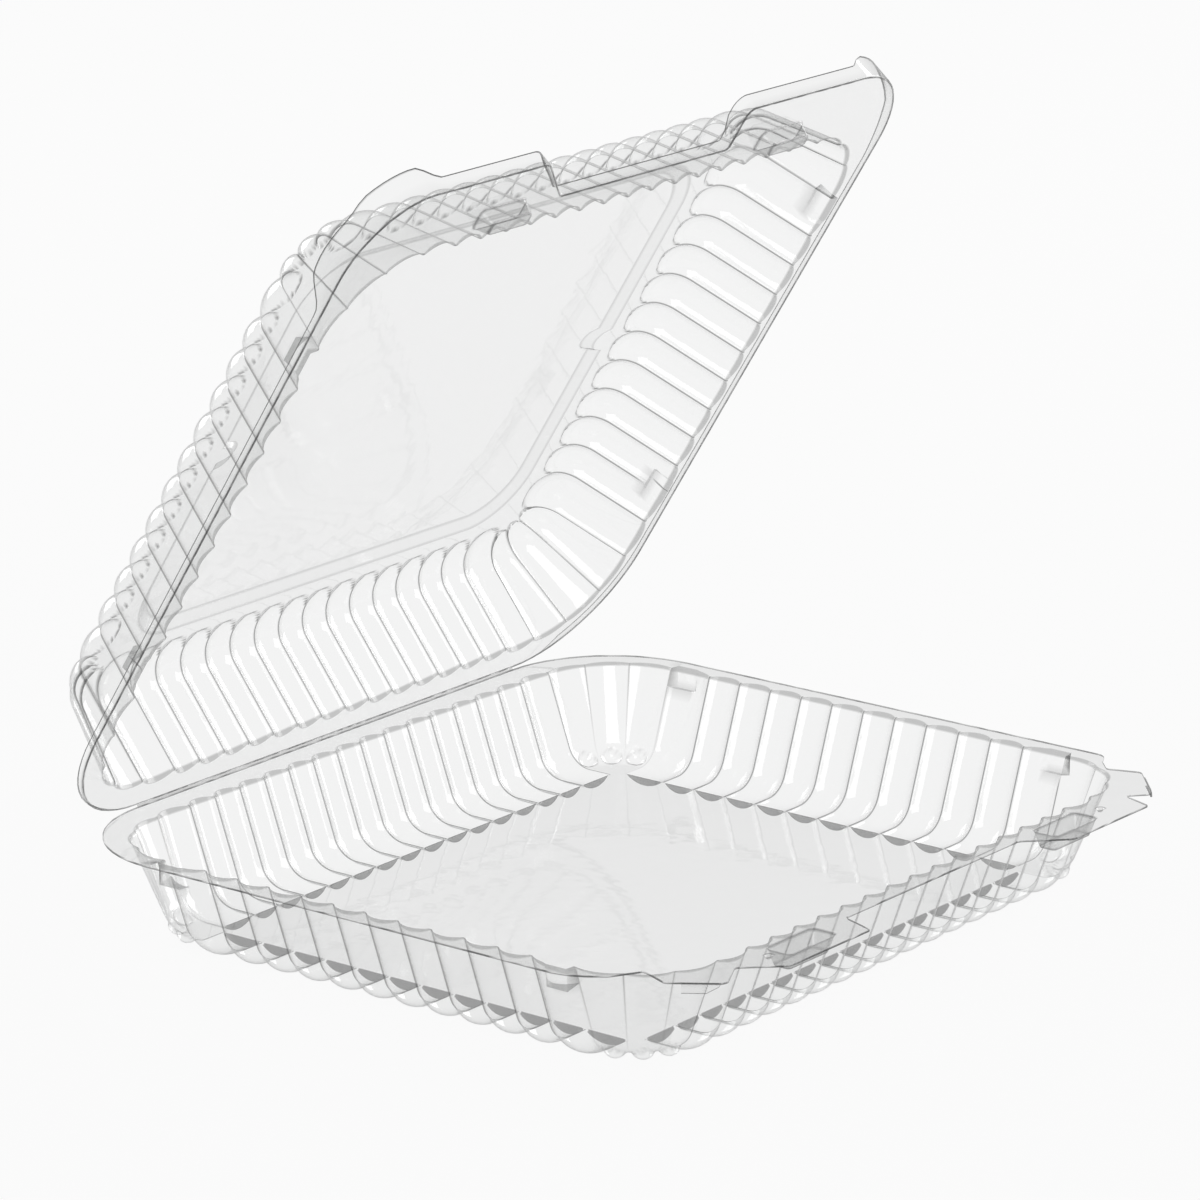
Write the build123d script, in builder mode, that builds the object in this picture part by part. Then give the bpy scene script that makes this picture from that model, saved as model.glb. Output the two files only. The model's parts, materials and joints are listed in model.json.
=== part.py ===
"""Clear hinged clamshell pack: a fluted tray and a matching lid, formed from one sheet.

Millimetres and degrees, +Z up. The origin is on the surface the base stands on, below
the middle of its opening. The hinge fold runs along X at the back (+Y) and the latches
are at the front (-Y). The lid is drawn at its resting angle, partly open.
"""
import os
from math import atan, cos, degrees, radians, sin, sqrt, tan

from build123d import *

os.makedirs("parts", exist_ok=True)

# --- driving dimensions -------------------------------------------------------------
film = 0.4                     # thickness of the formed sheet
half_length = 111.0            # middle of the opening to the side walls' crests
half_width = 94.5              # middle of the opening to the front and back crests
corner_radius = 25.5           # crest line of the opening's corners, in plan
crest_depth = 26.6             # rim to the level of the crests between flutes
wall_draft = 20.0              # lean of every wall
bend_radius = 8.0              # crest line where a wall turns into the floor

flute_depth = 2.4              # how far a flute bulges beyond the crests
crest_land = 0.8               # flat crest left between two flutes
long_flutes = 14               # even flutes on the front and back walls
short_flutes = 10              # even flutes on the side walls
end_flute_ratio = 1.27         # the first and last flute of a wall are this much wider
corner_flutes = 3              # lobes round each corner
corner_flute_width = 5.0
corner_flute_depth = 1.6
corner_channel = 1.5           # length of a corner lobe under the floor

base_channel_x = 89.0          # where the base's channels stop, from the middle
base_channel_y = 72.0
lid_channel_x = 95.0           # the lid's channels end in a round dome from here
lid_channel_y = 78.8

rim_side = 118.5               # middle of the opening to the rim's side edges
rim_front = 101.3              # ... to the plain front edge
hinge_distance = 105.2         # ... to the hinge fold
tray_middle = -2.865            # the tray's middle in y, with the open pack's middle at 0
hinge_corner = 36.0            # radius of the rim's corners beside the hinge
tab_front = 112.0              # ... to the front edge of the base's latch tabs
lid_front = 102.8              # ... to the lid's plain front edge
lid_tab_front = 116.8          # ... to the front edge of the lid's tabs

latch_offset = 60.5            # middle of the pack to each latch, along X
latch_distance = 103.0         # middle of the opening to the latches, along -Y
pocket_length = 21.0
pocket_width = 8.6
pocket_depth = 5.0
pocket_corner = 2.5
pocket_draft = 15.0
latch_clearance = 0.35         # all round the lid's button in the base's pocket
dimple_offsets = (-74.5, 77.7) # small locating dimple outboard of each latch
dimple_radius = 1.6
dimple_depth = 1.0

lug_width = 9.0                # stacking lugs at the top of the side walls
lug_height = 5.0
lug_reach = 3.0                # beyond the crest line of the opening
base_lug_rows = (-66.0, 66.0)
lid_lug_rows = (-72.0, 45.0)

panel_half_length = 84.0       # raised middle panel of the lid
panel_half_width = 69.0
panel_corner = 20.0
panel_height = 2.0
panel_slope = 4.0              # width of the sloping band round the panel

side_lip = 2.0                 # turned lip round the lid's rim
front_lip = 3.3
tab_lip = 4.6
corner_lip = 9.5               # deep lip round one front corner, to lift the lid by
base_lip = 2.4                 # turned lip on the base's corner tabs

rest_opening = 58.0            # angle between the lid's rim and the base's rim
rim_gap = 0.3                  # between the two rims when the pack is shut
fold_gap = 0.3                 # rim edge to the hinge axis, on each side

# --- derived sizes ------------------------------------------------------------------
rim_height = crest_depth + flute_depth
fold_edge = hinge_distance - fold_gap
hinge_height = rim_height + rim_gap / 2
centre_x = half_length - corner_radius
centre_y = half_width - corner_radius
long_pitch = 2 * centre_x / (long_flutes + 2 * end_flute_ratio)
short_pitch = 2 * centre_y / (short_flutes + 2 * end_flute_ratio)
draft = radians(wall_draft)
bend_drop = crest_depth - bend_radius
bend_inset = bend_drop * tan(draft) + bend_radius / cos(draft)


def spread(count, pitch):
    """Places of evenly pitched flutes about the middle of a wall."""
    return [(i - (count - 1) / 2) * pitch for i in range(count)]


def flute(reach, width, depth, channel_end, inset, round_end):
    """One flute on the +X wall: down the wall, round the bend and under the floor.

    reach is the crest line at the rim, channel_end where the channel stops. inset moves
    every face inwards, so that a second flute made with it gives the film's other side.
    """
    radius = (width**2 / 4 + depth**2) / (2 * depth)
    foot = inset + 0.2
    root = film + 1.4
    half_chord = sqrt((radius - inset) ** 2 - (radius - depth - foot) ** 2)
    axis_x = reach - bend_inset
    with BuildSketch() as section:
        with BuildLine():
            Polyline((-half_chord, -foot), (-half_chord, -root), (half_chord, -root), (half_chord, -foot))
            ThreePointArc((half_chord, -foot), (0, depth - inset), (-half_chord, -foot))
        make_face()
    wall_foot = Plane(
        origin=(axis_x + bend_radius * cos(draft), 0, -bend_drop - bend_radius * sin(draft)),
        x_dir=(0, -1, 0),
        z_dir=(sin(draft), 0, cos(draft)),
    )
    floor_edge = Plane(origin=(axis_x, 0, -crest_depth), x_dir=(0, -1, 0), z_dir=(1, 0, 0))
    with BuildPart() as shape:
        with BuildSketch(wall_foot):
            add(section.sketch)
        extrude(amount=crest_depth / cos(draft))
        with BuildSketch(wall_foot):
            add(section.sketch)
        revolve(axis=Axis((axis_x, 0, -bend_drop), (0, 1, 0)), revolution_arc=90 - wall_draft)
        with BuildSketch(floor_edge):
            add(section.sketch)
        extrude(amount=channel_end - axis_x)
        if round_end:
            with Locations(Location((channel_end, 0, -crest_depth + radius - depth), (0, -90, 0))):
                Sphere(radius - inset)
    return shape.part


def tray_form(inset, channel_x, channel_y, round_end, lug_rows):
    """The block that fills one half of the pack: rim at z = 0, floor below it."""
    wall_inset = inset / cos(draft)
    end_width = end_flute_ratio * short_pitch - crest_land
    side = flute(half_length, short_pitch - crest_land, flute_depth, channel_x, inset, round_end)
    side_end = flute(half_length, end_width, flute_depth, channel_x, inset, round_end)
    end_width = end_flute_ratio * long_pitch - crest_land
    front = flute(half_width, long_pitch - crest_land, flute_depth, channel_y, inset, round_end)
    front_end = flute(half_width, end_width, flute_depth, channel_y, inset, round_end)
    lobe_end = corner_radius - bend_inset - corner_channel
    lobe = flute(corner_radius, corner_flute_width, corner_flute_depth, lobe_end, inset, True)
    end_y = centre_y - end_flute_ratio * short_pitch / 2
    end_x = centre_x - end_flute_ratio * long_pitch / 2
    lobe_step = 90 / corner_flutes

    with BuildPart() as form:
        with BuildSketch():
            RectangleRounded(
                2 * (half_length - wall_inset), 2 * (half_width - wall_inset), corner_radius - wall_inset
            )
        extrude(amount=inset - crest_depth, taper=wall_draft)
        fillet(form.faces().sort_by(Axis.Z)[0].edges(), bend_radius - inset)
        for turn in (0, 180):
            with Locations([Location((0, y, 0), (0, 0, turn)) for y in spread(short_flutes, short_pitch)]):
                add(side)
            with Locations([Location((x, 0, 0), (0, 0, turn + 90)) for x in spread(long_flutes, long_pitch)]):
                add(front)
            with Locations([Location((0, y, 0), (0, 0, turn)) for y in (-end_y, end_y)]):
                add(side_end)
            with Locations([Location((x, 0, 0), (0, 0, turn + 90)) for x in (-end_x, end_x)]):
                add(front_end)
        for start, x, y in ((0, 1, 1), (90, -1, 1), (180, -1, -1), (270, 1, -1)):
            with Locations((x * centre_x, y * centre_y)):
                with PolarLocations(
                    0, corner_flutes, start + lobe_step / 2, 90 - lobe_step, endpoint=True
                ):
                    add(lobe)
        with Locations([(x * half_length, y, 0) for x in (-1, 1) for y in lug_rows]):
            Box(2 * (lug_reach - inset), lug_width - 2 * inset, 2 * (lug_height - inset))
        Box(400, 400, 50, align=(Align.CENTER, Align.CENTER, Align.MIN), mode=Mode.SUBTRACT)
    return form.part


def rim_face(corners):
    """The rim's outline as a face, from its corner points and their rounding radii."""
    with BuildSketch() as outline:
        with BuildLine():
            Polyline([(x, y) for x, y, radius in corners], close=True)
        make_face()
        for x, y, radius in corners:
            if radius:
                fillet(outline.vertices().sort_by_distance((x, y))[0], radius)
    return outline.sketch


def lip(face, depth, centre, size, turn):
    """A lip turned down along the edge of a rim, where the edge crosses a box in plan."""
    with BuildPart() as strip:
        with BuildSketch():
            add(face)
            offset(face, amount=-film, kind=Kind.INTERSECTION, mode=Mode.SUBTRACT)
            with Locations(Location((centre[0], centre[1], 0), (0, 0, turn))):
                Rectangle(size[0], size[1], mode=Mode.INTERSECT)
        extrude(amount=-depth)
    return strip.part


base_corners = (
    (-rim_side, fold_edge, hinge_corner),
    (-rim_side, -72.0, 20.0),
    (-112.0, -80.5, 2.0),
    (-103.6, -85.4, 1.0),
    (-107.2, -94.5, 2.0),
    (-98.0, -107.5, 2.0),
    (-87.1, -101.7, 1.0),
    (-77.5, -tab_front, 3.0),
    (-42.4, -tab_front, 1.5),
    (-38.6, -rim_front, 1.0),
    (40.8, -rim_front, 2.0),
    (51.5, -tab_front, 3.0),
    (88.0, -tab_front, 1.5),
    (91.4, -102.0, 1.0),
    (97.0, -107.3, 2.0),
    (111.9, -94.0, 2.0),
    (107.9, -86.3, 1.0),
    (112.0, -80.5, 2.0),
    (rim_side, -72.0, 20.0),
    (rim_side, fold_edge, hinge_corner),
)
# the lid is drawn upside down, so its x runs the other way
lid_corners = (
    (rim_side, fold_edge, hinge_corner),
    (rim_side, -lid_tab_front, 24.0),
    (48.5, -lid_tab_front, 5.0),
    (35.0, -lid_front, 3.0),
    (-38.3, -lid_front, 1.5),
    (-38.3, -lid_tab_front, 3.0),
    (-rim_side, -lid_tab_front, 28.0),
    (-rim_side, fold_edge, hinge_corner),
)

# --- base ---------------------------------------------------------------------------
base_face = rim_face(base_corners)
base_outer = tray_form(0, base_channel_x, base_channel_y, False, base_lug_rows)
base_inner = tray_form(film, base_channel_x, base_channel_y, False, base_lug_rows)
tab_lips = [
    lip(base_face, base_lip, (-102.6, -101.0), (11.0, 6.0), -54.7),
    lip(base_face, base_lip, (104.5, -100.6), (15.0, 6.0), 41.8),
]
latch_places = [(x, -latch_distance, 0) for x in (-latch_offset, latch_offset)]

rim_plane = Plane((0, tray_middle, rim_height))

with BuildPart(rim_plane) as base_tray:
    add(base_outer)
    with BuildSketch(rim_plane):
        add(base_face)
    extrude(amount=-film)
    for tab_lip_strip in tab_lips:
        add(tab_lip_strip)
    with BuildSketch(rim_plane):
        with Locations(latch_places):
            RectangleRounded(pocket_length, pocket_width, pocket_corner)
    extrude(amount=-pocket_depth, taper=pocket_draft)
    with Locations([(x, -latch_distance, 0) for x in dimple_offsets]):
        Cylinder(dimple_radius, 2 * dimple_depth)
    add(base_inner, mode=Mode.SUBTRACT)
    with BuildSketch(rim_plane):
        with Locations(latch_places):
            RectangleRounded(pocket_length - 2 * film, pocket_width - 2 * film, pocket_corner - film)
    extrude(amount=film - pocket_depth, taper=pocket_draft, mode=Mode.SUBTRACT)
    with Locations([(x, -latch_distance, 0) for x in dimple_offsets]):
        Cylinder(dimple_radius - film, 2 * (dimple_depth - film), mode=Mode.SUBTRACT)
    with Locations((0, 0, 0)):
        Box(400, 400, 20, align=(Align.CENTER, Align.CENTER, Align.MIN), mode=Mode.SUBTRACT)

base_tray.part.label = "base_tray"
export_step(base_tray.part, "parts/base_tray.step")

# --- lid ----------------------------------------------------------------------------
lid_face = rim_face(lid_corners)
lid_outer = tray_form(0, lid_channel_x, lid_channel_y, True, lid_lug_rows)
lid_inner = tray_form(film, lid_channel_x, lid_channel_y, True, lid_lug_rows)
lid_lips = [
    lip(lid_face, side_lip, (0, -40.0), (260.0, 200.0), 0),
    lip(lid_face, front_lip, (0, -102.8), (90.0, 6.0), 0),
    lip(lid_face, tab_lip, (-77.0, -110.0), (90.0, 60.0), 0),
    lip(lid_face, tab_lip, (77.0, -105.0), (90.0, 50.0), 0),
    lip(lid_face, corner_lip, (110.0, -100.0), (38.0, 40.0), 0),
]
panel_taper = degrees(atan(panel_slope / panel_height))
button_length = pocket_length - 2 * film - 2 * latch_clearance
button_width = pocket_width - 2 * film - 2 * latch_clearance
button_height = pocket_depth - film + rim_gap - latch_clearance

opening = radians(rest_opening)
lid_plane = Plane(
    origin=(
        0,
        tray_middle + hinge_distance * (1 - cos(opening)) + rim_gap / 2 * sin(opening),
        hinge_height + hinge_distance * sin(opening) + rim_gap / 2 * cos(opening),
    ),
    x_dir=(-1, 0, 0),
    z_dir=(0, -sin(opening), -cos(opening)),
)

with BuildPart(lid_plane) as lid:
    add(lid_outer)
    with BuildSketch(lid_plane):
        add(lid_face)
    extrude(amount=-film)
    for lip_strip in lid_lips:
        add(lip_strip)
    with BuildSketch(lid_plane.offset(-crest_depth)):
        RectangleRounded(2 * panel_half_length, 2 * panel_half_width, panel_corner)
    extrude(amount=-panel_height, taper=panel_taper)
    with BuildSketch(lid_plane):
        with Locations(latch_places):
            RectangleRounded(button_length, button_width, pocket_corner - film)
    extrude(amount=button_height, taper=pocket_draft)
    add(lid_inner, mode=Mode.SUBTRACT)
    with BuildSketch(lid_plane.offset(film - crest_depth)):
        RectangleRounded(2 * panel_half_length - film, 2 * panel_half_width - film, panel_corner)
    extrude(amount=-panel_height, taper=panel_taper, mode=Mode.SUBTRACT)
    with BuildSketch(lid_plane.offset(-film)):
        with Locations(latch_places):
            RectangleRounded(button_length - 2 * film, button_width - 2 * film, pocket_corner - 2 * film)
    extrude(amount=button_height, taper=pocket_draft, mode=Mode.SUBTRACT)

lid.part.label = "lid"
export_step(lid.part, "parts/lid.step")
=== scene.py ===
"""Clear hinged clamshell pack: one formed sheet in two fluted halves, with a fold between.

Metres, +Z up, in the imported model's frame: X along the fold, the latches towards -Y.
"""
import json

import bmesh
import bpy
import numpy as np
from mathutils import Matrix, Vector
from mathutils.geometry import delaunay_2d_cdt


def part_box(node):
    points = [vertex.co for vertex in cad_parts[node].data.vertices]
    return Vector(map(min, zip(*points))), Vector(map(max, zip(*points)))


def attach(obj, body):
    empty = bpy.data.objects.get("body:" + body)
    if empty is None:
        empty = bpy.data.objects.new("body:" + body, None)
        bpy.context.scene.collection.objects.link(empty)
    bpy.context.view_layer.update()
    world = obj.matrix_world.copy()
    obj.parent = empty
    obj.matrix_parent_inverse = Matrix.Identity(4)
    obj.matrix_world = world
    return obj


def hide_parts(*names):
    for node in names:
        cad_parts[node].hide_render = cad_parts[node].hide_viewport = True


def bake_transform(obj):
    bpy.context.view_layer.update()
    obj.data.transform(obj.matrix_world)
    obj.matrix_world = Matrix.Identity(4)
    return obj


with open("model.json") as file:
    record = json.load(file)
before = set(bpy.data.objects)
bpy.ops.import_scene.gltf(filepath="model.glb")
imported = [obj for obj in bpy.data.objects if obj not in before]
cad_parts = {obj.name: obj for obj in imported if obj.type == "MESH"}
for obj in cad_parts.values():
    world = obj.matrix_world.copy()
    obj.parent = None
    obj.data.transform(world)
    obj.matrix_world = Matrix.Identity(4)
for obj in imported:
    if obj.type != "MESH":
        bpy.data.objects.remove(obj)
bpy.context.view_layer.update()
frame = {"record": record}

# --- Camera -----------------------------------------------------------------------------
# A long lens left of the latch side, looking a little down on the open pack. It is placed
# from the fold, which the record's joint gives.
mm = 0.001
fold_line = Vector(frame["record"]["behaviour"]["joints"][0]["pos_m"])
camera_yaw, camera_pitch = np.radians(52.18), np.radians(16.21)
forward = Vector((
    np.sin(camera_yaw) * np.cos(camera_pitch),
    np.cos(camera_yaw) * np.cos(camera_pitch),
    -np.sin(camera_pitch),
))
camera_data = bpy.data.cameras.new("studio_camera")
camera_data.sensor_width = 36.0
camera_data.lens = 191.6
camera_data.clip_end = 20.0
camera = bpy.data.objects.new("studio_camera", camera_data)
camera.location = fold_line + Vector((-1.3124, -1.1148, 0.53975))
camera.rotation_euler = forward.to_track_quat("-Z", "Y").to_euler()
bpy.context.scene.collection.objects.link(camera)
bpy.context.scene.camera = camera

# --- Base ---------------------------------------------------------------------------------
# The lower half: clear PET sheet, thermoformed into a tray with flat-ended channels under
# its floor, then die cut with latch pockets, dimples, latch tabs and corner pull tabs.

# Both halves are drawn alike: rim at z = 0, floor below it, latches towards -Y. The walls
# lean 20 degrees and carry round flutes that turn under the floor as short channels.
half_length, half_width = 111.0 * mm, 94.5 * mm
corner_radius = 25.5 * mm
crest_depth = 26.6 * mm
draft = np.radians(20.0)
bend_radius = 8.0 * mm
flute_depth = 2.4 * mm
crest_land = 0.8 * mm
long_flutes, short_flutes = 14, 10
end_ratio = 1.27
lobe_count = 3
lobe_depth = 1.1 * mm
toe_radius, toe_depth = 3.4 * mm, 1.9 * mm
cusp_softness = 0.2 * mm
shade_line_width = 0.22 * mm
dome_length = 3.2 * mm
lug_width, lug_height, lug_reach = 9.0 * mm, 5.0 * mm, 3.0 * mm
centre_x, centre_y = half_length - corner_radius, half_width - corner_radius
bend_drop = crest_depth - bend_radius
bend_inset = bend_drop * np.tan(draft) + bend_radius / np.cos(draft)


crest_to_middle = np.array([0.0, 0.04, 0.075, 0.11, 0.16, 0.25, 0.4, 0.6, 0.8])
flute_shares = np.concatenate([crest_to_middle, [1.0], 2 - crest_to_middle[:0:-1]]) - 1


def spread_flutes(middles, widths):
    """Columns over a row of flutes: place, and for each its flute's middle and width.

    Places crowd towards the crests: place = middle + share * width / 2, share -1 to 1.
    """
    place = (middles[:, None] + widths[:, None] / 2 * flute_shares).ravel()
    return place, np.repeat(middles, len(flute_shares)), np.repeat(widths, len(flute_shares))


def flute_columns(half_run, count):
    """Columns along a wall of count even flutes, with one end_ratio as wide at each end."""
    pitch = 2 * half_run / (count + 2 * end_ratio)
    widths = np.full(count + 2, pitch)
    widths[[0, -1]] = end_ratio * pitch
    edges = -half_run + np.concatenate([[0], np.cumsum(widths)])
    return spread_flutes((edges[1:] + edges[:-1]) / 2, widths)


def ring_columns():
    """Every column round a half, as arrays: wall side, place along it, middle, width.

    side is 0 to 3 for the walls facing +X, +Y, -X, -Y, and corner columns follow each
    wall with their turn from it in radians as place.
    """
    parts = []
    for side, (run, count) in enumerate(((centre_y, short_flutes), (centre_x, long_flutes)) * 2):
        place, middle, width = flute_columns(run, count)
        wall = [np.full_like(place, side), np.zeros_like(place), place, middle, width]
        parts.append(np.stack(wall, 1))
        lobe = np.pi / 2 / lobe_count
        middles = (np.arange(lobe_count) + 0.5) * lobe
        turn, middle, width = spread_flutes(middles, np.full(lobe_count, lobe))
        corner = [np.full_like(turn, side), np.ones_like(turn), turn, middle, width]
        parts.append(np.stack(corner, 1))
    return np.concatenate(parts)


columns = ring_columns()
side, is_corner, place, middle, width = columns.T
is_corner = is_corner > 0.5
facing = side * np.pi / 2 + np.where(is_corner, place, 0.0)
outward = np.stack([np.cos(facing), np.sin(facing)], 1)
wall_facing = side * np.pi / 2
on_side_wall = (side % 2) == 0


def ring(half_x, half_y, radius):
    """Plan of one row: a rounded rectangle, with its columns spread as at the rim.

    A wall column keeps its share of the straight run, and a corner column its turn.
    radius and the half sizes may be numbers or one value for each column.
    """
    straight_x, straight_y = half_x - radius, half_y - radius
    run = np.where(on_side_wall, straight_y, straight_x)
    rim_run = np.where(on_side_wall, centre_y, centre_x)
    reach = np.where(on_side_wall, straight_x, straight_y)
    along = np.where(is_corner, run, place / rim_run * run)
    wall_out = np.stack([np.cos(wall_facing), np.sin(wall_facing)], 1)
    wall_along = np.stack([-np.sin(wall_facing), np.cos(wall_facing)], 1)
    foot = wall_out * np.broadcast_to(reach, place.shape)[:, None] + wall_along * along[:, None]
    return foot + outward * np.broadcast_to(radius, place.shape)[:, None]


def soft_step(value):
    """A rounded ramp: half of (value + root(value^2 + softness^2)), so cusps have a radius."""
    return (value + np.sqrt(value**2 + cusp_softness**2)) / 2


def flute_height(past_dome):
    """How far the sheet stands out from the crest surface on wall columns, and its painted shade.

    A circle's cap: root(R^2 - t^2 - s^2) - (R - depth), with t the distance from the
    flute's middle and s the distance past the middle of its dome, if it ends in one. The
    painted shade is 1 where the cap starts and on the narrow land between two flutes, and
    falls off as exp(-(distance / shade_line_width)^2).
    """
    chord = width - crest_land
    radius = (chord**2 / 4 + flute_depth**2) / (2 * flute_depth)
    across = place - middle
    cap = np.sqrt(np.maximum(radius**2 - across**2 - past_dome**2, 0)) - (radius - flute_depth)
    to_dome_edge = np.hypot(across, past_dome) - chord / 2
    to_edge = np.where(past_dome > 0, to_dome_edge, width / 2 - np.abs(across))
    return soft_step(cap), np.exp(-((to_edge / shade_line_width) ** 2))


def domed_corner(down, ring_radius, past_bend):
    """Height and painted shade of a corner's flutes, which narrow downwards and end in domes.

    height = depth * root(1 - q^2), with q^2 = (2 turn / flute width)^2 + (past / dome)^2.
    """
    share = 2 * (place - middle) / width
    q = np.hypot(share, past_bend / dome_length)
    height = (1.3 + 0.7 * down) * mm * np.sqrt(np.maximum(1 - q**2, 0))
    half = width / 2 * ring_radius
    # Painted shade: a dark line round each dome's edge.
    return height, 0.8 * np.exp(-(((1 - q) * half / shade_line_width) ** 2))


def corner_height(fade, ring_radius, from_toe):
    """Height and painted shade at a corner: shallow facets above, and a round toe under each.

    A facet is depth * (1 - (2 turn / facet width)^2), fading to the floor. A toe is a
    sphere's cap, with the distance across it and the distance along the bend from it.
    """
    share = 2 * (place - middle) / width
    facet = lobe_depth * (1 - share**2) * fade
    across = (place - middle) * ring_radius
    sunk = toe_radius - toe_depth
    cap = np.sqrt(np.maximum(toe_radius**2 - across**2 - from_toe**2, 0)) - sunk
    toe_edge = np.sqrt(toe_radius**2 - sunk**2)
    beyond = np.hypot(across, from_toe) - toe_edge
    # Painted shade round each toe and along the facets' edges.
    painted_shade = 0.3 * np.exp(-((beyond / shade_line_width) ** 2))
    facet_edge = (1 - np.abs(share)) * width / 2 * ring_radius
    painted_shade = np.maximum(painted_shade, 0.7 * fade * np.exp(-((facet_edge / shade_line_width) ** 2)))
    return facet + soft_step(cap), painted_shade


def formed_rows(channel_x, channel_y, domed, lug_places):
    """Rows (rows, columns, x y z painted shade) from the rim to the inner ends of the channels.

    Each lug is a flat step that stands out at the top of the side walls.
    """
    rows = []
    channel_end = np.where(on_side_wall, channel_x, channel_y)
    channel_end = np.where(is_corner, (channel_x + channel_y) / 2, channel_end)
    half = np.where(on_side_wall, half_length, half_width)
    half = np.where(is_corner, (half_length + half_width) / 2, half)
    channel_length = half - channel_end - bend_inset
    zero = np.zeros_like(place)
    side_column = on_side_wall & ~is_corner
    in_channel = 0.4 * mm

    def add_row(
        inset, depth, lean, past_dome, share, from_toe, ring_radius, bend_shade=0.0, end_shade=0.0
    ):
        down = min(depth / crest_depth, 1.0)
        if domed:
            past_bend = max(float(np.max(inset)) - bend_inset, 0.0)
            corner, corner_shade = domed_corner(down, ring_radius, past_bend)
        else:
            corner, corner_shade = corner_height(1 - down, ring_radius, from_toe)
        flute, flute_shade = flute_height(past_dome)
        for lug in lug_places:
            from_lug = np.abs(place * np.cos(wall_facing) - lug)
            in_lug = side_column & (from_lug < lug_width / 2) & (depth < lug_height)
            flute = np.where(in_lug, np.maximum(flute, lug_reach + depth * np.tan(draft)), flute)
            # A painted shade line along each lug's step.
            lug_edge = side_column & (from_lug < lug_width / 2 + 0.5 * mm)
            at_step = abs(depth - lug_height) < 0.3 * mm
            flute_shade = np.where(lug_edge & at_step, 0.25, flute_shade)
        height = np.where(is_corner, corner, flute * share)
        # Painted shade weights of cusps, dome edges, the channels' ends and the rim's bend.
        wall_shade = np.maximum(flute_shade * share, end_shade * (flute > in_channel))
        painted_shade = np.where(is_corner, corner_shade, wall_shade)
        painted_shade = np.maximum(painted_shade, bend_shade)
        inset = np.broadcast_to(inset, place.shape)
        plan = ring(half_length - inset, half_width - inset, corner_radius - inset)
        plan = plan + outward * (height * np.cos(lean))[:, None]
        rows.append(np.column_stack([plan, -depth - height * np.sin(lean), painted_shade]))

    far = 1.0
    # Each step of the rim's bend: how far down, how far out, and its painted shade.
    rim_bend = ((0.0, 0.75, 0.0), (0.1, 0.3, 0.5), (0.35, 0.05, 0.5), (0.9, 0.0, 0.0))
    for down, out, painted_shade in rim_bend:
        inset = down * mm * np.tan(draft) - out * mm
        lean = draft if down > 0.2 else 0.0
        add_row(inset, down * mm, lean, zero, 1.0, far, corner_radius, bend_shade=painted_shade)
    for share in (0.12, 0.225, 0.245, 0.4, 0.55, 0.7, 0.86):
        depth = share * (bend_drop + bend_radius * np.sin(draft))
        add_row(depth * np.tan(draft), depth, draft, zero, 1.0, far, corner_radius)
    toe_lean = np.radians(58.0)
    toe_arm = bend_radius + toe_depth / 2
    floor_radius = corner_radius - bend_inset
    for lean in np.linspace(draft, np.pi / 2, 13):
        inset = bend_inset - bend_radius * np.cos(lean)
        depth = bend_drop + bend_radius * np.sin(lean)
        bend_ring = floor_radius + bend_radius * np.cos(lean)
        add_row(inset, depth, lean, zero, 1.0, (lean - toe_lean) * toe_arm, bend_ring)
    floor_toe = (np.pi / 2 - toe_lean) * toe_arm
    flat = np.pi / 2
    if domed:
        reach = 8.0 * mm
        for share in np.sin(np.linspace(0, np.pi / 2, 12))[1:]:
            past = share * reach
            past_dome = np.maximum(past - channel_length, 0)
            from_toe = floor_toe + past
            add_row(bend_inset + past, crest_depth, flat, past_dome, 1.0, from_toe, floor_radius)
    else:
        # The channels' flat ends get a painted shade line.
        for share, painted_shade in ((0.25, 0), (0.5, 0), (0.75, 0), (0.94, 0), (1.0, 0.8)):
            inset = bend_inset + share * channel_length
            from_toe = floor_toe + share * 6 * mm
            add_row(inset, crest_depth, flat, zero, 1.0, from_toe, floor_radius, end_shade=painted_shade)
        inset = bend_inset + channel_length + 0.3 * mm
        from_toe = floor_toe + 7 * mm
        add_row(inset, crest_depth, flat, zero, 0.0, from_toe, floor_radius, end_shade=0.8)
    return np.array(rows)


def flat_row(half_x, half_y, radius, depth, notch=0.0, painted_shade=0.0):
    """A row on the floor: a rounded rectangle at one depth, with a notch in its short sides.

    bite = root(notch^2 - place^2) within the notch, and nothing elsewhere.
    """
    bite = np.where(~is_corner & on_side_wall, np.sqrt(np.maximum(notch**2 - place**2, 0)), 0.0)
    plan = ring(half_x, half_y, radius) - outward * bite[:, None]
    # The last column is a painted shade weight, the same all round the row.
    return np.column_stack([plan, np.full_like(place, -depth), np.full_like(place, painted_shade)])


def grid_faces(row_count, column_count, first=0, closed=True):
    """Quads between neighbouring rows and columns, wound to face up and inwards."""
    r = np.arange(row_count - 1)[:, None]
    c = np.arange(column_count if closed else column_count - 1)[None, :]
    a = first + r * column_count + c
    b = first + r * column_count + (c + 1) % column_count
    faces = np.stack([a, b, b + column_count, a + column_count], -1)
    return faces.reshape(-1, 4)


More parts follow.
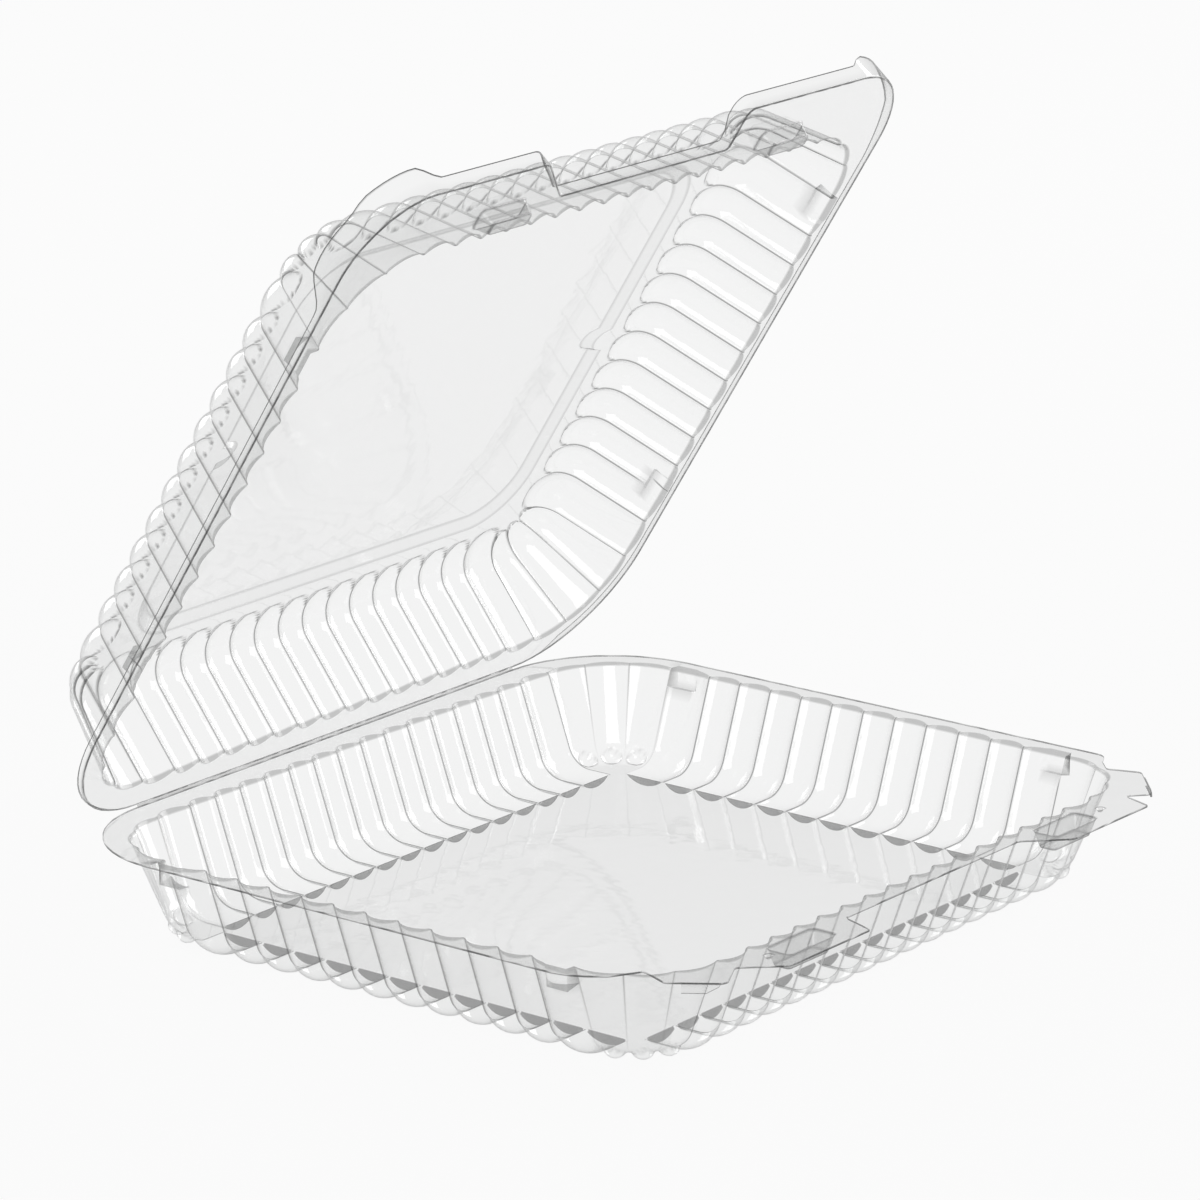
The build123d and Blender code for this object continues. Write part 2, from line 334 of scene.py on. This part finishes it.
# The rim is the flat flange left round the walls. Pockets and buttons are pressed into it,
# and its edge is turned down where fingers lift it.
def rounded_outline(corners, spacing=3.0 * mm):
    """Points round a closed outline: straight runs, and at each corner an arc of its radius."""
    points = []
    count = len(corners)
    for i in range(count):
        x, y, radius = np.array(corners[i]) * mm
        here = np.array([x, y])
        before = np.array(corners[i - 1][:2]) * mm - here
        after = np.array(corners[(i + 1) % count][:2]) * mm - here
        before, after = before / np.linalg.norm(before), after / np.linalg.norm(after)
        half_angle = np.arccos(np.clip(before @ after, -1, 1)) / 2
        cut = radius / np.tan(half_angle)
        bisector = (before + after) / np.linalg.norm(before + after)
        centre = here + bisector * radius / np.sin(half_angle)
        start, end = here + before * cut - centre, here + after * cut - centre
        turn = np.arctan2(start[0] * end[1] - start[1] * end[0], start @ end)
        steps = max(3, int(abs(turn) / np.radians(6)))
        angle = np.linspace(0, turn, steps + 1)
        square = np.array([-start[1], start[0]])
        arc = np.outer(np.cos(angle), start) + np.outer(np.sin(angle), square) + centre
        points.append(arc)
    runs = []
    for i in range(count):
        runs.append(points[i])
        a, b = points[i][-1], points[(i + 1) % count][0]
        steps = int(np.linalg.norm(b - a) / spacing)
        if steps > 1:
            share = np.linspace(0, 1, steps + 1)[1:-1, None]
            runs.append(a + (b - a) * share)
    return np.concatenate(runs)


edge_width = 0.35 * mm
sheet = 0.45 * mm


def outline_normals(points):
    """Unit vectors square to a closed outline, pointing out of it."""
    tangent = np.roll(points, -1, 0) - np.roll(points, 1, 0)
    tangent /= np.linalg.norm(tangent, axis=1)[:, None]
    normal = np.column_stack([tangent[:, 1], -tangent[:, 0]])
    x, y = points.T
    area = np.sum(x * np.roll(y, -1) - np.roll(x, -1) * y)
    return normal * np.sign(area)


def inside(points, loop):
    """True for each point from which a ray along +X crosses the loop an odd number of times."""
    a, b = loop[None], np.roll(loop, -1, 0)[None]
    x, y = points[:, None, 0], points[:, None, 1]
    spans = (a[..., 1] > y) != (b[..., 1] > y)
    rise = np.where(spans, b[..., 1] - a[..., 1], 1.0)
    crossing = a[..., 0] + (y - a[..., 1]) * (b[..., 0] - a[..., 0]) / rise
    return (spans & (crossing > x)).sum(1) % 2 == 1


def flat_sheet(outer, holes):
    """Triangles of the flat rim between its outline and the holes in it."""
    loops = [outer - outline_normals(outer) * edge_width, *holes]
    points = np.concatenate(loops)
    edges, first = [], 0
    for loop in loops:
        n = len(loop)
        edges += [(first + i, first + (i + 1) % n) for i in range(n)]
        first += n
    inner_faces, weld = 1, 1e-7
    verts, _, faces, _, _, _ = delaunay_2d_cdt(
        [Vector(p) for p in points], edges, [], inner_faces, weld, False
    )
    flat = np.array([(v.x, v.y, 0.0, 0.0) for v in verts])
    faces = np.array(faces)
    middles = flat[faces, :2].mean(1)
    keep = inside(middles, loops[0])
    for hole in holes:
        keep &= ~inside(middles, hole)
    return flat, faces[keep]


def cut_edge(outer):
    """The narrow strip along the rim's die-cut edge, where the sheet's thickness shows."""
    inner = outer - outline_normals(outer) * edge_width
    level = np.zeros(len(outer))
    # Painted shade: the outer rows get full weight, a dark line along the cut face.
    points = np.concatenate([
        np.column_stack([outer, level - sheet, level + 1.0]),
        np.column_stack([outer, level, level + 1.0]), np.column_stack([inner, level, level]),
    ])
    return points, grid_faces(3, len(outer))


def pressed_rows(centre, length, breadth, radius, depth, slope):
    """Rows of a pocket (depth > 0) or button (depth < 0) pressed into the rim at centre."""
    turn = np.linspace(0, 2 * np.pi, 49)[:-1]
    made = []
    edge = 0.4 * mm
    # Each step: how far in from the edge, share of the depth, and its painted shade.
    profile = (
        (-0.8, 0.0, 0.0), (0.0, 0.0, 0.3), (0.3, 0.06, 0.8), (0.5, 0.2, 0.2), (0.8, 0.8, 0.2),
        (1.1, 0.95, 0.8), (1.5, 1.0, 0.3), (2.6, 1.0, 0.0),
    )
    for inward, share, painted_shade in profile:
        shrink = inward * edge + share * abs(depth) * slope
        r = max(radius - shrink * 0.6, 0.4 * mm)
        hx, hy = length / 2 - shrink - r, breadth / 2 - shrink - r
        x = np.sign(np.cos(turn)) * hx + r * np.cos(turn)
        y = np.sign(np.sin(turn)) * hy + r * np.sin(turn)
        z = np.full_like(x, -share * depth)
        made.append(np.column_stack([x + centre[0], y + centre[1], z, np.full_like(x, painted_shade)]))
    return np.array(made)


weld_distance = 0.02 * mm
sharp_angle = np.radians(38)


def join_sheet(name, pieces, place_matrix):
    """One mesh object from (points, faces) pieces, welded where they meet and smooth shaded."""
    points, faces, first = [], [], 0
    for piece_points, piece_faces in pieces:
        points.append(piece_points)
        faces += [tuple(int(i) + first for i in f) for f in piece_faces]
        first += len(piece_points)
    points = np.concatenate(points)
    turn = np.array(place_matrix)
    # The fourth value of each point is a painted shade weight, kept on the mesh for the film's
    # finish.
    painted_shade_weights = points[:, 3].copy()
    points = points[:, :3] @ turn[:3, :3].T + turn[:3, 3]
    mesh = bpy.data.meshes.new(name)
    mesh.from_pydata(points.tolist(), [], faces)
    mesh.update()
    mesh.attributes.new("painted_shade", "FLOAT", "POINT").data.foreach_set("value", painted_shade_weights)
    work = bmesh.new()
    work.from_mesh(mesh)
    bmesh.ops.remove_doubles(work, verts=work.verts, dist=weld_distance)
    bmesh.ops.dissolve_degenerate(work, edges=work.edges, dist=weld_distance / 4)
    bmesh.ops.recalc_face_normals(work, faces=work.faces)
    work.to_mesh(mesh)
    work.free()
    mesh.shade_smooth()
    mesh.set_sharp_from_angle(angle=sharp_angle)
    made = bpy.data.objects.new(name, mesh)
    bpy.context.scene.collection.objects.link(made)
    evened = made.modifiers.new("flats_stay_flat", "WEIGHTED_NORMAL")
    evened.keep_sharp = True
    return made


def fan(row_points):
    """Closes a row with one face for each pair of columns to a middle point."""
    n = len(row_points)
    middle_point = row_points.mean(0)[None]
    faces = [(i, (i + 1) % n, n) for i in range(n)]
    return np.concatenate([row_points, middle_point]), faces


def turned_lip(outline, depth, flare):
    """A lip turned down from the rim's edge, where depth is more than nothing.

    The edge rounds over first, then runs down by depth while leaning out by flare.
    """
    normal = outline_normals(outline)
    rows = []
    bend = 0.5 * mm * np.minimum(depth / mm, 1)
    # Painted shade along the round-over, and full shade at the lip's lower edge.
    for turned in np.radians((0, 30, 60)):
        shifted = outline + normal * (bend * np.sin(turned))[:, None]
        drop = bend * (1 - np.cos(turned))
        rows.append(np.column_stack([shifted, -drop, np.full_like(bend, 0.5)]))
    run = np.maximum(depth - bend, 0)
    for share, painted_shade, inward in ((0, 0.1, 0), (0.5, 0, 0), (0.92, 0, 0), (1, 1, 0), (1, 1, 1)):
        shifted = outline + normal * (bend + flare * share * run - inward * sheet)[:, None]
        rows.append(np.column_stack([shifted, -bend - share * run, np.full_like(bend, painted_shade)]))
    rows = np.array(rows)
    faces = grid_faces(len(rows), len(outline))
    turned_down = depth > 0.05 * mm
    keep = turned_down[faces[:, 0] % len(outline)] & turned_down[faces[:, 1] % len(outline)]
    return rows.reshape(-1, 4), faces[keep]


rim_side = 118.5
fold_edge = 104.9
hinge_corner = 36.0
hinge_distance = 105.2 * mm
latch_places = ((-60.5 * mm, -103.0 * mm), (60.5 * mm, -103.0 * mm))


# The film is colourless and very glossy, with slight ripples from the mould. Lamps pass
# through it, since a sheet this thin casts hardly any shadow.
class Socket:
    """A node socket that takes part in Python arithmetic, adding Math nodes as it goes."""

    def __init__(self, tree, socket):
        self.tree, self.socket = tree, socket

    def math(self, operation, other, swap=False):
        pair = (other, self) if swap else (self, other)
        return node(self.tree, "ShaderNodeMath", {"operation": operation}, {0: pair[0], 1: pair[1]})

    def __add__(self, other):
        return self.math("ADD", other)

    __radd__ = __add__

    def __mul__(self, other):
        return self.math("MULTIPLY", other)

    __rmul__ = __mul__

    def __truediv__(self, other):
        return self.math("DIVIDE", other)

    def __rtruediv__(self, other):
        return self.math("DIVIDE", other, True)


def node(tree, kind, settings=None, inputs=None, output=0):
    """Adds a node, applies its settings, then fills or links its inputs; gives one output."""
    made = tree.nodes.new(kind)
    for key, value in (settings or {}).items():
        setattr(made, key, value)
    for key, value in (inputs or {}).items():
        if isinstance(value, Socket):
            tree.links.new(value.socket, made.inputs[key])
        else:
            made.inputs[key].default_value = value
    return Socket(tree, made.outputs[output]) if made.outputs else None


def new_material(name):
    made = bpy.data.materials.new(name)
    made.use_nodes = True
    made.node_tree.nodes.clear()
    return made, made.node_tree


def clear_film(name, ripple_scale):
    """Clear sheet. A face mirrors R = 0.043 + 0.957 * facing^5, and the sheet 2R / (1 + R).

    Light from behind is lost at sharp bends and cut edges; a dark finish paints that shade.
    """
    made, tree = new_material(name)
    where = node(tree, "ShaderNodeTexCoord", output="Object")
    ripple = node(tree, "ShaderNodeTexNoise", inputs={
        "Vector": where, "Scale": ripple_scale, "Detail": 1.0,
    })
    bump = node(tree, "ShaderNodeBump", inputs={
        "Strength": 0.1, "Distance": 0.0006, "Height": ripple,
    })
    patches = node(tree, "ShaderNodeTexNoise", inputs={
        "Vector": where, "Scale": 35.0, "Detail": 3.0,
    })
    # Painted shade weight, made with the mesh along sharp bends and cut edges.
    painted_shade = node(tree, "ShaderNodeAttribute", {"attribute_name": "painted_shade"}, output="Fac")
    edge_on = node(
        tree, "ShaderNodeLayerWeight", inputs={"Blend": 0.5, "Normal": bump}, output="Facing"
    )
    square_on = 0.043
    face = square_on + (1 - square_on) * edge_on.math("POWER", 5.0)
    mirrored = 2.0 * face / (1.0 + face)
    gloss = node(tree, "ShaderNodeBsdfGlossy", inputs={
        "Color": (1.0, 1.0, 1.0, 1.0), "Roughness": 0.03 + 0.05 * patches, "Normal": bump,
    })
    clear = node(tree, "ShaderNodeBsdfTransparent", inputs={"Color": (0.965, 0.967, 0.966, 1.0)})
    film = node(tree, "ShaderNodeMixShader", inputs={0: mirrored, 1: clear, 2: gloss})
    # Painted shade: a dark finish mixed over the clear film by that weight.
    painted_shade_finish = node(tree, "ShaderNodeBsdfPrincipled", inputs={
        "Base Color": (0.08, 0.081, 0.081, 1.0), "Roughness": 0.25, "IOR": 1.53,
    }, output="BSDF")
    shown = node(tree, "ShaderNodeMixShader", inputs={0: painted_shade * 0.85, 1: film, 2: painted_shade_finish})
    node(tree, "ShaderNodeOutputMaterial", inputs={"Surface": shown})
    return made


base_corners = (
    (-rim_side, fold_edge, hinge_corner), (-rim_side, -72, 20), (-112, -80.5, 2),
    (-103.6, -85.4, 1.2), (-107.2, -94.5, 2), (-98, -107.5, 2.5), (-87.1, -101.7, 1.6),
    (-77.5, -112, 4),
    (-42.4, -112, 1.5), (-38.6, -101.3, 1.5), (40.8, -101.3, 3), (51.5, -112, 4),
    (88, -112, 1.5), (91.4, -102, 1), (97, -107.3, 2), (111.9, -94, 2), (108.6, -84.6, 1.2),
    (113, -80.4, 1.5), (rim_side, -77.5, 4), (rim_side, fold_edge, hinge_corner),
)
base_outline = rounded_outline(base_corners)
base_rows = formed_rows(89 * mm, 72 * mm, False, (-66 * mm, 66 * mm))
base_floor = [
    flat_row(half_x * mm, half_y * mm, r * mm, crest_depth)
    for half_x, half_y, r in ((88.2, 71.2, 4), (80, 63, 8), (50, 40, 8), (12, 10, 4))
]
base_grid = np.concatenate([base_rows, np.array(base_floor)])
pockets = [pressed_rows(c, 21 * mm, 8.8 * mm, 2.2 * mm, 5 * mm, 0.27) for c in latch_places]
dimples = [
    pressed_rows((x * mm, -103 * mm), 3.2 * mm, 2.6 * mm, 1.3 * mm, 0.9 * mm, 0.4)
    for x in (-74.5, 77.7)
]
pieces = [
    flat_sheet(base_outline, [base_grid[0][:, :2], *[p[0][:, :2] for p in pockets + dimples]]),
    cut_edge(base_outline),
    (base_grid.reshape(-1, 4), grid_faces(len(base_grid), len(columns))),
    fan(base_grid[-1]),
]
for pressed in pockets + dimples:
    pieces.append((pressed.reshape(-1, 4), grid_faces(len(pressed), pressed.shape[1])))
    pieces.append(fan(pressed[-1]))
tab_edge = np.zeros(len(base_outline))
for x, y, reach in ((-102.6, -101.0, 6.5), (104.5, -100.6, 8.5)):
    from_tab = np.linalg.norm(base_outline - np.array([x, y]) * mm, axis=1)
    tab_edge = np.maximum(tab_edge, 2.6 * mm * np.clip((reach * mm - from_tab) / (2 * mm), 0, 1))
pieces.append(turned_lip(base_outline, tab_edge, 0.15))
tray_middle = Vector((0, fold_line.y - hinge_distance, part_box("base_tray")[1].z))
base = join_sheet("base_film", pieces, Matrix.Translation(tray_middle))
base.data.materials.append(clear_film("clear_film_base", 160.0))
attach(base, "base")
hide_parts("base_tray")

# --- Lid ----------------------------------------------------------------------------------
# The upper half, of the same sheet, hinged back 58 degrees. Its channels end in domes, a
# raised panel stiffens its top, buttons face the pockets, and its edge is turned outwards.
lid_corners = (
    (rim_side, fold_edge, hinge_corner), (rim_side, -116.8, 24), (48.5, -116.8, 5),
    (35, -102.8, 3), (-38.3, -102.8, 1.5), (-38.3, -116.8, 3), (-rim_side, -116.8, 28),
    (-rim_side, fold_edge, hinge_corner),
)
lid_outline = rounded_outline(lid_corners, 2.0 * mm)
lid_rows = formed_rows(95 * mm, 78.8 * mm, True, (-64 * mm, 45 * mm))
notch = 5.5 * mm
panel_rise = 2.0
# The last number paints shade along the raised panel's steps.
lid_floor = [
    flat_row(half_x * mm, half_y * mm, r * mm, crest_depth + rise * mm, bite, painted_shade)
    for half_x, half_y, r, rise, bite, painted_shade in (
        (84.6, 69.4, 19, 0, notch, 0), (84.0, 68.8, 19, 0.06, notch, 0.35),
        (83.2, 68.0, 18.4, 0.35, notch, 0.1), (81.0, 65.8, 17, 1.65, notch, 0.1),
        (80.2, 65.0, 16.5, 1.94, notch, 0.35), (79.5, 64.3, 16, panel_rise, notch, 0),
        (60, 46, 12, panel_rise, 0, 0), (40, 30, 10, panel_rise, 0, 0),
        (12, 10, 4, panel_rise, 0, 0),
    )
]
lid_grid = np.concatenate([lid_rows, np.array(lid_floor)])
buttons = [pressed_rows(c, 19.4 * mm, 7.2 * mm, 2.2 * mm, -4.5 * mm, 0.27) for c in latch_places]
pieces = [
    flat_sheet(lid_outline, [lid_grid[0][:, :2], *[b[0][:, :2] for b in buttons]]),
    cut_edge(lid_outline),
    (lid_grid.reshape(-1, 4), grid_faces(len(lid_grid), len(columns))),
    fan(lid_grid[-1]),
]
for pressed in buttons:
    pieces.append((pressed.reshape(-1, 4), grid_faces(len(pressed), pressed.shape[1])))
    pieces.append(fan(pressed[-1]))


def ramp(value, low, high):
    """0 below low, 1 above high, and a smooth S between them."""
    t = np.clip((value - low) / (high - low), 0, 1)
    return t * t * (3 - 2 * t)


lid_x, lid_y = -lid_outline[:, 0] / mm, -lid_outline[:, 1] / mm
lip_depth = 1.8 + 1.6 * ramp(lid_y, 80, 100) + 1.4 * ramp(lid_y, 106, 112)
lip_depth += 4.6 * ramp(lid_y, 82, 92) * ramp(-lid_x, 88, 95)
lip_depth += 3.0 * ramp(lid_y, 100, 110) * ramp(lid_x, 90, 96)
lip_depth *= ramp(104.8 + lid_y, 0.0, 6.0)
pieces.append(turned_lip(lid_outline, lip_depth * mm, 0.12))
rim_gap = 0.3 * mm
opening = np.radians(58.0)
along = Vector((0, -np.cos(opening), np.sin(opening)))
out_of_lid = Vector((0, np.sin(opening), np.cos(opening)))
lid_matrix = Matrix.Identity(4)
for column, axis in enumerate((Vector((-1, 0, 0)), -along, -out_of_lid)):
    for row in range(3):
        lid_matrix[row][column] = axis[row]
lid_matrix.translation = fold_line + along * hinge_distance + out_of_lid * rim_gap / 2
lid = join_sheet("lid_film", pieces, lid_matrix)
lid_finish = clear_film("clear_film_lid", 140.0)
lid.data.materials.append(lid_finish)
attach(lid, "lid")
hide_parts("lid")

# --- Fold ---------------------------------------------------------------------------------
# The strip of the same sheet between the halves, thinned and creased so that it bends.
fold_half = 82.0 * mm
edge_of_base = np.array([fold_line.y - 0.3 * mm, tray_middle.z])
edge_of_lid = np.array(fold_line + along * 0.3 * mm + out_of_lid * rim_gap / 2)[1:]
fold_rows, fold_columns = 7, 83
share = np.linspace(0, 1, fold_rows)[:, None]
bow = np.sin(np.pi * share) * 0.25 * mm * np.array([[0.9, -0.2]])
section = edge_of_base + (edge_of_lid - edge_of_base) * share + bow
spots = np.linspace(-fold_half, fold_half, fold_columns)
# Painted shade: an even light shade over the whole strip.
fold_shade = 0.4
strip_points = np.column_stack([
    np.tile(spots, fold_rows), np.repeat(section, fold_columns, axis=0),
    np.full(fold_rows * fold_columns, fold_shade),
])
strip = [(strip_points, grid_faces(fold_rows, fold_columns, closed=False))]
fold = join_sheet("fold_film", strip, Matrix.Identity(4))
fold.data.materials.append(lid_finish)
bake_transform(fold)

# --- Studio -------------------------------------------------------------------------------
# A plain white table and a pale room, with two large soft lamps and one from behind.
def seen_straight(tree):
    """1 for light that reaches the camera straight or through clear things, else 0."""
    path = tree.nodes.new("ShaderNodeLightPath")
    camera_ray = Socket(tree, path.outputs["Is Camera Ray"])
    return camera_ray + Socket(tree, path.outputs["Is Transmission Ray"])


world = bpy.data.worlds.new("pale_room")
bpy.context.scene.world = world
world.use_nodes = True
tree = world.node_tree
tree.nodes.clear()
seen = seen_straight(tree)
room = node(tree, "ShaderNodeBackground", inputs={"Color": (0.55, 0.55, 0.55, 1), "Strength": 1.0})
white = node(tree, "ShaderNodeBackground", inputs={"Color": (1, 1, 1, 1), "Strength": 1.0})
shown = node(tree, "ShaderNodeMixShader", inputs={0: seen, 1: room, 2: white})
node(tree, "ShaderNodeOutputWorld", inputs={"Surface": shown})

table_half, table_top = 6.0, -0.5 * mm
table_points = np.array([
    [x * table_half, y * table_half, table_top, 0] for x, y in ((-1, -1), (1, -1), (1, 1), (-1, 1))
])
table = join_sheet("white_table", [(table_points, [(0, 1, 2, 3)])], Matrix.Identity(4))
table_finish, tree = new_material("white_table")
seen = seen_straight(tree)
dull = node(tree, "ShaderNodeBsdfDiffuse", inputs={"Color": (0.82, 0.82, 0.82, 1)})
white = node(tree, "ShaderNodeEmission", inputs={"Color": (1, 1, 1, 1), "Strength": 1.0})
shown = node(tree, "ShaderNodeMixShader", inputs={0: seen * 0.9, 1: dull, 2: white})
node(tree, "ShaderNodeOutputMaterial", inputs={"Surface": shown})
table.data.materials.append(table_finish)

aim = Vector((0, 0, 0.05))
for name, spot, size, power in (
    ("front_lamp", (-1.6, -1.6, 1.1), 1.5, 8.5),
    ("right_lamp", (1.6, -0.5, 0.6), 1.2, 9.0),
    ("back_lamp", (0.2, 1.7, 0.9), 1.0, 5.0),
):
    lamp_data = bpy.data.lights.new(name, "AREA")
    lamp_data.shape = "RECTANGLE"
    lamp_data.size, lamp_data.size_y = size, size * 0.8
    lamp_data.energy = power
    lamp = bpy.data.objects.new(name, lamp_data)
    lamp.location = spot
    lamp.rotation_euler = (aim - Vector(spot)).to_track_quat("-Z", "Y").to_euler()
    lamp.visible_camera = False
    bpy.context.scene.collection.objects.link(lamp)

bpy.context.scene.view_settings.view_transform = "Standard"
